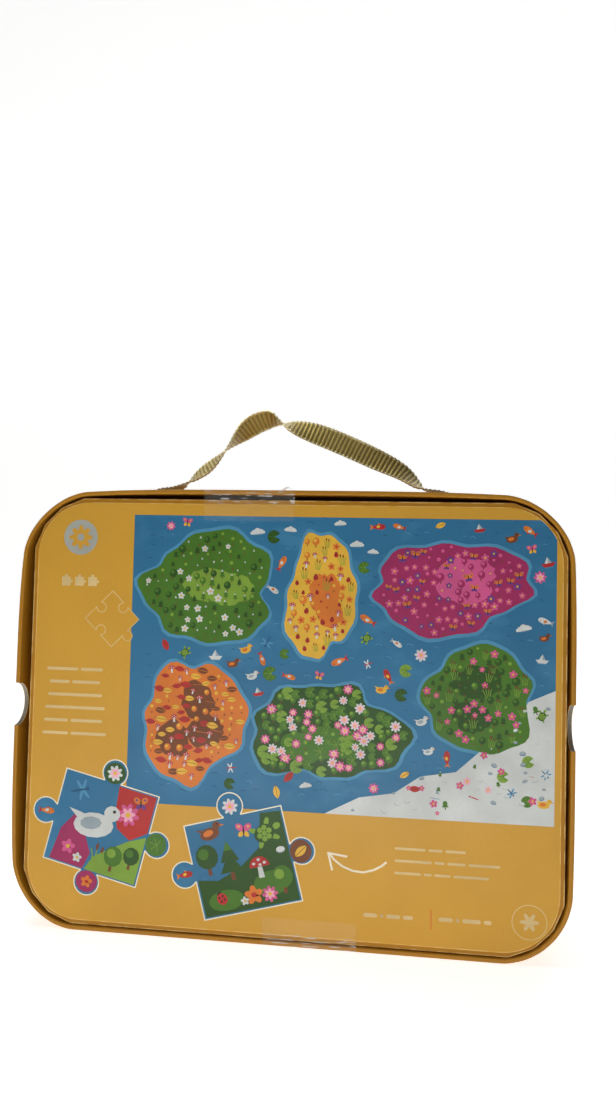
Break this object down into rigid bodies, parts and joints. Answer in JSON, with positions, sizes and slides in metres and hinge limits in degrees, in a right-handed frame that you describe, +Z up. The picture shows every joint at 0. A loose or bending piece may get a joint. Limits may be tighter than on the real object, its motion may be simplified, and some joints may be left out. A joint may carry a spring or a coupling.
{
  "type": "boxed jigsaw puzzle",
  "caption": "Rounded board suitcase box with a ribbon handle: a printed tray slides out of a deep lid and holds stacked interlocking jigsaw pieces.",
  "frame": {"origin": "middle of the lid's bottom face, on the surface that the box stands on", "axes": "+X across the width, +Y towards the front panel with the tray's back label at -Y, +Z up to the handle"},
  "size_m": [0.2786, 0.0802, 0.2694],
  "materials": {
    "greyboard": "matte grey board",
    "cover_paper": "satin laminated ochre paper",
    "label_paper": "gloss laminated print",
    "lining_paper": "matte uncoated paper",
    "ribbon": "gold grosgrain ribbon",
    "clear_tape": "clear film",
    "puzzle_board": "printed puzzle board"
  },
  "bodies": {
    "lid": {"lid_panel_board": "greyboard", "lid_wall_board": "greyboard", "lid_wall_wrap": "cover_paper", "lid_front_label": "label_paper", "lid_panel_lining": "lining_paper", "lid_wall_lining": "lining_paper", "ribbon_foot_left": "ribbon", "ribbon_foot_right": "ribbon"},
    "handle": {"ribbon_loop": "ribbon"},
    "tray": {"tray_panel_board": "greyboard", "tray_wall_board": "greyboard", "tray_wall_wrap": "cover_paper", "tray_back_label": "label_paper", "tray_floor_lining": "lining_paper", "tray_wall_lining": "lining_paper", "tape_seal_top": "clear_tape", "tape_seal_bottom": "clear_tape"},
    "bundle_1": {"pieces_layer_01": "puzzle_board", "pieces_layer_02": "puzzle_board", "pieces_layer_03": "puzzle_board", "pieces_layer_04": "puzzle_board", "pieces_layer_05": "puzzle_board"},
    "bundle_2": {"pieces_layer_06": "puzzle_board", "pieces_layer_07": "puzzle_board", "pieces_layer_08": "puzzle_board", "pieces_layer_09": "puzzle_board", "pieces_layer_10": "puzzle_board"},
    "bundle_3": {"pieces_layer_11": "puzzle_board", "pieces_layer_12": "puzzle_board", "pieces_layer_13": "puzzle_board", "pieces_layer_14": "puzzle_board", "pieces_layer_15": "puzzle_board"},
    "bundle_4": {"pieces_layer_16": "puzzle_board", "pieces_layer_17": "puzzle_board", "pieces_layer_18": "puzzle_board", "pieces_layer_19": "puzzle_board", "pieces_layer_20": "puzzle_board"}
  },
  "joints": [
    {"name": "tray_slide", "type": "slide", "parent": "lid", "child": "tray", "axis": [0, -1, 0], "range_m": [0, 0.16]},
    {"name": "handle_swing", "type": "hinge", "parent": "lid", "child": "handle", "pos_m": [0, 0, 0.2304], "axis": [1, 0, 0], "range_deg": [-88, 88], "stiffness_Nm_per_rad": 0.002},
    {"name": "bundle_1_lift", "type": "slide", "parent": "tray", "child": "bundle_1", "axis": [0, 1, 0], "range_m": [0, 0.0075]},
    {"name": "bundle_2_lift", "type": "slide", "parent": "bundle_1", "child": "bundle_2", "axis": [0, 1, 0], "range_m": [0, 0.0075]},
    {"name": "bundle_3_lift", "type": "slide", "parent": "bundle_2", "child": "bundle_3", "axis": [0, 1, 0], "range_m": [0, 0.0075]},
    {"name": "bundle_4_lift", "type": "slide", "parent": "bundle_3", "child": "bundle_4", "axis": [0, 1, 0], "range_m": [0, 0.0075]}
  ]
}
